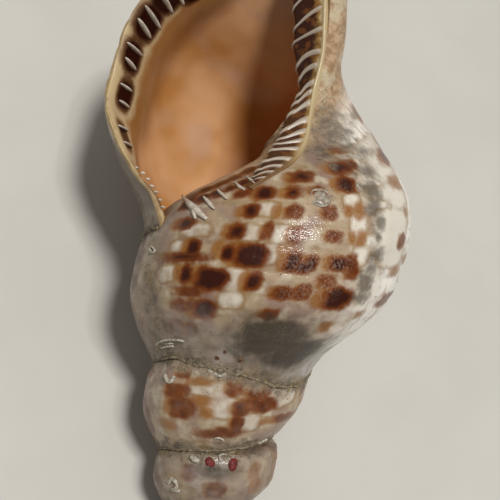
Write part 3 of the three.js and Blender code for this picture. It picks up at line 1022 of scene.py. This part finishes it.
def outer_glaze(node):
    """Worn glaze: wet-looking over cream ground and brown flames, dull and gritty under growth."""
    mm = node("scaled", node("object"), MILLIMETRES)
    where = node("stored", attribute_name="place")
    marks = node("stored", attribute_name="marks")
    patches = node("stored", attribute_name="patches")
    cover = node("stored", attribute_name="cover")
    films = node("stored", attribute_name="film")
    growth_lines = node("noise", node("scaled", where, (206, 16, 0)), 1, 4, 0.6)
    wander = node("times plus", node("noise", mm, 1 / 4.5, 1), 2.4, -1.2)
    fine = node("times plus", node("noise", mm, 1 / 1.3, 2), 0.6, -0.3)
    shake = node("plus", wander, fine)

    # Ground: cream and smoky lilac, darker growth lines, white spaces with thin ochre outlines; by the
    # silhouette the white is partly painted light.
    smoke = node("ease", node("noise", mm, 1 / 15, 3), 0.4, 0.6)
    ground = node("mix", smoke, "#b59f80", "#9c8273")
    light = node("ease", node("noise", mm, 1 / 7, 3), 0.48, 0.72)
    ground = node("mix", light, ground, "#cdbea4")
    ground = node("mix", node("ease", growth_lines, 0.5, 0.8, 0.3), ground, "#94764f")
    broken = node("times plus", node("noise", mm, 1 / 9, 1), 2.4, -1.2)
    lines = node("plus", node("y", films), broken)
    ground = node("mix", node("ease", lines, 0.5, 1.3, 0.4), ground, "#8d6a33")
    # The last part of the flank before the silhouette turns near white in streaks: partly its own pale
    # streaks, partly painted light on the side that faces the light.
    flank = node("ease", node("x", where), -0.68, -0.58)
    flank = node("times plus", node("ease", node("x", where), -0.3, -0.44), flank, 0)
    pale_and_lit_streaks = node("noise", node("scaled", where, (70, 45, 0)), 1, 3)
    pale_and_lit_streaks = node("ease", pale_and_lit_streaks, 0.34, 0.54, 1, 0.4)
    ground = node("mix", node("times plus", flank, pale_and_lit_streaks, 0), ground, "#fffaf0")
    pale = node("plus", node("z", cover), shake)
    ground = node("mix", node("ease", pale, -2.1, -0.8, 0.6), ground, "#8d682c")
    # The white spaces by the silhouette are partly painted light on the lit side.
    ground = node("mix", node("ease", pale, -1.2, 1.2, 0.85), ground, "#efe8d9")

    # Flames: an ochre margin, rust within it, and a dark heart.
    halo = node("plus", node("y", marks), shake)
    color = node("mix", node("ease", halo, -1.2, 1, 0.88), ground, "#956022")
    color = node("mix", node("ease", halo, 1.2, 3.2, 0.8), color, "#7d3f0c")
    depth = node("plus", node("x", marks), shake)
    color = node("mix", node("ease", depth, -1.6, 0.2), color, "#74380a")
    color = node("mix", node("ease", depth, -0.3, 1.5, 0.95), color, "#340d02")
    slate = node("times plus", node("noise", mm, 1 / 3, 3), 6, node("plus", node("z", marks), -3))
    color = node("mix", node("ease", slate, -1.8, 2.2, 0.8), color, "#5c5347")

    # A pinkish speckled veil is painted over the worn ground, marks too: a painted sheen where the highlight
    # falls.
    glitter = node("ease", node("z", patches), -5, 3)
    painted_sheen_specks = node("ease", node("noise", mm, 1 / 1.1, 3, 0.6), 0.4, 0.72, 0.34)
    color = node("mix", node("times plus", glitter, painted_sheen_specks, 0), color, "#c8ad9b")

    # The neck is tan with cream patches.
    neck = node("ease", node("y", where), 0.85, 0.93)
    tan = node("mix", node("ease", node("noise", mm, 1 / 3.2, 4), 0.36, 0.64), "#ab8863", "#d2b08c")
    cream = node("ease", node("noise", mm, 1 / 9, 3), 0.52, 0.66, 0.75)
    tan = node("mix", cream, tan, "#dccdae")
    color = node("mix", neck, color, tan)

    # Growth: a thin film, grit, crust along the sutures, and the smooth grey patch.
    dull = node("mix", node("ease", node("noise", mm, 1 / 6, 4), 0.38, 0.62), "#6f6557", "#988c81")
    lilac = node("ease", node("noise", mm, 1 / 14, 3), 0.5, 0.66, 0.7)
    dull = node("mix", lilac, dull, "#a29796")
    film_noise = node("times plus", node("noise", mm, 1 / 5, 4), 0.7, -0.35)
    film = node("plus", node("x", films), film_noise)
    color = node("mix", node("ease", film, 0.05, 1.2, 0.75), color, dull)
    lip_back = node("plus", node("z", films), film_noise)
    color = node("mix", node("ease", lip_back, 0.2, 1.2, 0.75), color, "#6a5c4d")
    soil = node("ease", node("noise", mm, 1 / 5, 5, 0.7), 0.36, 0.64)
    dirt = node("mix", soil, "#62564a", "#9c8c75")
    rusty = node("ease", node("noise", mm, 1 / 8, 3), 0.52, 0.66, 0.7)
    dirt = node("mix", rusty, dirt, "#8f7748")
    specks = node("ease", node("noise", mm, 1 / 1.5, 3, 0.6), 0.58, 0.68, 0.75)
    dirt = node("mix", specks, dirt, "#3b3229")
    grit_edge = node("times plus", wander, 4, node("y", patches))
    grit = node("ease", grit_edge, -3.5, 3, 0.8)
    color = node("mix", grit, color, dirt)
    ragged = node("times plus", node("noise", mm, 1 / 3.5, 3), 11, -5.5)
    crust = node("ease", node("plus", node("y", cover), ragged), 6, 1, 0.9)
    color = node("mix", crust, color, dirt)
    patch_edge = node("times plus", wander, 1.8, node("x", patches))
    patch = node("ease", patch_edge, -3, 4, 0.93)
    flecks = node("ease", node("noise", mm, 1 / 0.9, 4, 0.7), 0.58, 0.78)
    color = node("mix", patch, color, node("mix", flecks, "#3e352b", "#857a6b"))
    color = node("mix", node("x", cover), color, "#8a4a1e")
    behind = node("y", node("stored", attribute_name="lip"))
    lip_cream = node("mix", node("ease", node("noise", mm, 1 / 5, 3), 0.4, 0.65), "#a88c62", "#c0a97f")
    color = node("mix", node("ease", behind, 0.008, 0.003), color, lip_cream)

    # Relief: growth lines everywhere, grit under growth, and a sparkling grain on the worn ground
    # and along the lip's edge.
    sparkle = node("most", glitter, node("ease", behind, 0.012, 0.004, 0.6))
    rough = node("most", grit, node("most", crust, neck))
    heights = node("times plus", growth_lines, 0.5, node("noise", mm, 1 / 2.4, 3))
    grain = node("plus", node("noise", mm, 1 / 0.75, 3, 0.7), node("noise", mm, 1 / 1.6, 2))
    low = node("bump", heights, 0.0004, 0.5)
    gritty = node("bump", grain, 0.0007, node("ease", rough, 0, 1, 1, 0.1), low)
    normal = node("bump", node("noise", mm, 1 / 0.9, 1), 0.00018, sparkle, gritty)
    dullness = node("most", node("most", grit, crust), film)
    return {
        "Base Color": color, "Normal": normal, "Coat Normal": normal, "Coat Weight": 0.35,
        "Coat Roughness": 0.1, "Specular IOR Level": 0.2,
        "Roughness": node("ease", dullness, 0.2, 1, 0.62, 0.34),
    }


def inner_glaze(node):
    """Porcelain-smooth glaze: even orange-tan, red-brown deeper inside (its own colour and painted shade),
    with a cream lip and dark patches.
    """
    mm = node("scaled", node("object"), MILLIMETRES)
    lip = node("stored", attribute_name="lip")
    behind, turns = node("y", lip), node("z", lip)
    clouds = node("ease", node("noise", mm, 1 / 34, 2), 0.28, 0.68)
    color = node("mix", clouds, "#b87d3e", "#daa778")
    # Pale lilac-grey clouds: partly the glaze's own tone, partly painted soft highlights on the glossy wall.
    lilac = node("ease", node("noise", mm, 1 / 26, 1), 0.5, 0.75, 0.4)
    color = node("mix", lilac, color, "#c4a592")
    # Deeper inside, the glaze turns red-brown: partly its own colour, partly painted shade in the depth of
    # the aperture.
    drift = node("times plus", node("noise", mm, 1 / 30, 1), 0.06, -0.03)
    color = node("mix", node("ease", node("plus", turns, drift), -0.18, -0.36), color, "#c24a05")
    blur = node("times plus", node("noise", mm, 1 / 9, 2), 0.024, -0.012)
    near = node("plus", behind, blur)
    color = node("mix", node("ease", near, 0.1, 0.035, 0.75), color, "#905e26")
    color = node("mix", node("ease", near, 0.037, 0.02), color, "#c6ae85")
    shake = node("times plus", node("noise", mm, 1 / 2.5, 2), 1.2, -0.6)
    tooth = node("plus", node("x", lip), shake)
    color = node("mix", node("ease", tooth, -1.4, 0.6, 0.9), color, "#5e3517")
    color = node("mix", node("ease", tooth, -0.2, 2), color, "#2b0f07")
    return {
        "Base Color": color, "Normal": node("bump", node("noise", mm, 1 / 7, 2), 0.0005, 0.3),
        "Roughness": 0.36, "Coat Weight": 0.05, "Coat Roughness": 0.15,
        "Specular IOR Level": 0.18,
    }


def ribbed_callus(node):
    """Polished callus: cream rim, ochre beside it, dark brown between pinkish-grey ribs."""
    mm = node("scaled", node("object"), MILLIMETRES)
    where = node("stored", attribute_name="place")
    across, rib, path = node("x", where), node("y", where), node("z", where)
    mottle = node("times plus", node("noise", mm, 1 / 2.5, 3), 0.5, -0.25)
    shaken = node("plus", across, mottle)
    along_it = node("times plus", mottle, 0.4, path)
    deep = node("mix", node("ease", along_it, 0.34, 0.5), "#4c2c13", "#3b1a0a")
    warm = node("ease", node("noise", mm, 1 / 4, 2), 0.52, 0.64, 0.6)
    deep = node("mix", warm, deep, "#7d4a1b")
    lasting = node("ease", path, 0.12, 0.25)
    beside = node("mix", lasting, "#7a5a3a", "#a17a43")
    color = node("mix", node("ease", shaken, 0.1, 0.42), beside, deep)
    color = node("mix", node("ease", across, 1.1, 1.4), color, "#6b2a07")
    rim = node("times plus", node("ease", shaken, 0.16, 0.04), lasting, 0)
    color = node("mix", rim, color, "#c6b188")
    color = node("mix", node("ease", rib, 0.2, 0.55), color, "#bbad9b")
    return {
        "Base Color": color, "Roughness": 0.4, "Coat Weight": 0.12, "Coat Roughness": 0.12,
        "Specular IOR Level": 0.35,
    }


def two_tone(node, size, dark, light, roughness, relief=0.0002):
    """Two tones in a grain of size millimetres, with a little relief."""
    mm = node("scaled", node("object"), MILLIMETRES)
    grain = node("noise", mm, 1 / size, 3)
    return {
        "Base Color": node("mix", node("ease", grain, 0.35, 0.65), dark, light),
        "Normal": node("bump", grain, relief), "Roughness": roughness,
    }


outside = new_material("shell lime, worn outer glaze", outer_glaze)
glaze = new_material("shell lime, smooth inner glaze", inner_glaze)
callus = new_material("shell lime, ribbed callus", ribbed_callus)
# Dense and smooth, so the teeth and ridges stand out as soft white strokes.
enamel = new_material("shell enamel, grown teeth", two_tone, 3, "#beb2a0", "#ddd2c2", 0.25, 5e-5)
# Dry and chalky, so the tubes show as pale matt threads.
chalk = new_material("worm lime, chalky tubes", two_tone, 1, "#968d7c", "#cfc8ba", 0.6)
# Rough and earthy, so the sutures read as dirty seams.
crust = new_material("lime and algae, encrusted", two_tone, 1.4, "#5a4d3b", "#94866c", 0.7, 4e-4)
# Worn lime, so the scar is a dull grey ring with white specks.
scar = new_material("barnacle lime, worn", two_tone, 1.6, "#85796a", "#b5aa99", 0.35, 1e-4)
# Grown crust of small animals: deep red, soft and uneven.
red = new_material("red crust, encrusted", two_tone, 0.9, "#470d0a", "#86241d", 0.5, 4e-4)
# Wet growth, so each lump is brown with a small highlight.
brown = new_material("brown growth, glossy", two_tone, 1.2, "#41200f", "#7d5730", 0.25)
# Clear crystals over the ground, so they are dull specks that sparkle where they face the light.
glassy = new_material("salt and sand grains, glassy", two_tone, 0.6, "#6b5d4c", "#9a8c78", 0.1)

body = make_body(outside)
body.data.materials.append(glaze)
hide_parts("triton_shell")
spire = make_spire(outside)
paint(body)
paint(spire)
make_inner_lip(callus)
make_teeth(enamel)
make_wall_ridges(enamel)
make_worm_tubes(chalk)
make_red_crusts(red)
make_pustules(brown)
make_barnacle_base(scar)
make_suture_crust(crust)
make_grains(glassy)

# The body's inner wall takes the glaze: its points lie nearer to the axis than the outer wall's.
mesh = body.data
places = np.empty(len(mesh.vertices) * 3)
mesh.attributes["place"].data.foreach_get("vector", places)
places = places.reshape(-1, 3)
to_shell = TO_METRES.inverted()
for polygon in mesh.polygons:
    turns, u, behind = places[polygon.vertices[0]]
    middle = to_shell @ polygon.center
    radius = math.hypot(middle.x - axis_x(middle.y), middle.z)
    if radius < outer(turns, u) - 1.6:
        polygon.material_index = 1

# Floor and light

bm = bmesh.new()
bmesh.ops.create_grid(bm, x_segments=1, y_segments=1, size=3)
floor_mesh = bpy.data.meshes.new("floor")
bm.to_mesh(floor_mesh)
bm.free()
floor = bpy.data.objects.new("floor", floor_mesh)
bpy.context.scene.collection.objects.link(floor)
# Matt paint, pale and even, so that only the shadow shows on it.
floor_mesh.materials.append(
    new_material("tabletop, matt paint", two_tone, 60, "#c9c6be", "#cdcac2", 0.7, 0)
)

world = bpy.data.worlds.new("studio")
world.use_nodes = True
world.node_tree.nodes["Background"].inputs["Color"].default_value = (1, 0.99, 0.97, 1)
world.node_tree.nodes["Background"].inputs["Strength"].default_value = 0.2
bpy.context.scene.world = world
bpy.context.scene.view_settings.view_transform = "Standard"


def lamp(name, strength, width, above, towards):
    """Far soft light: its width in degrees, its height over the floor and its compass angle."""
    data = bpy.data.lights.new(name, "SUN")
    data.energy = strength
    data.angle = math.radians(width)
    data.color = (1, 0.985, 0.96)
    made = bpy.data.objects.new(name, data)
    up, round_ = math.radians(above), math.radians(towards)
    aim = Vector((math.cos(up) * math.cos(round_), math.cos(up) * math.sin(round_), math.sin(up)))
    made.rotation_euler = aim.to_track_quat("Z", "Y").to_euler()
    made.location = aim
    bpy.context.scene.collection.objects.link(made)


lamp("key", 2, 10, 85, 10)
lamp("fill", 0.12, 50, 65, 40)
lamp("glint", 0.4, 3, 78, 5)
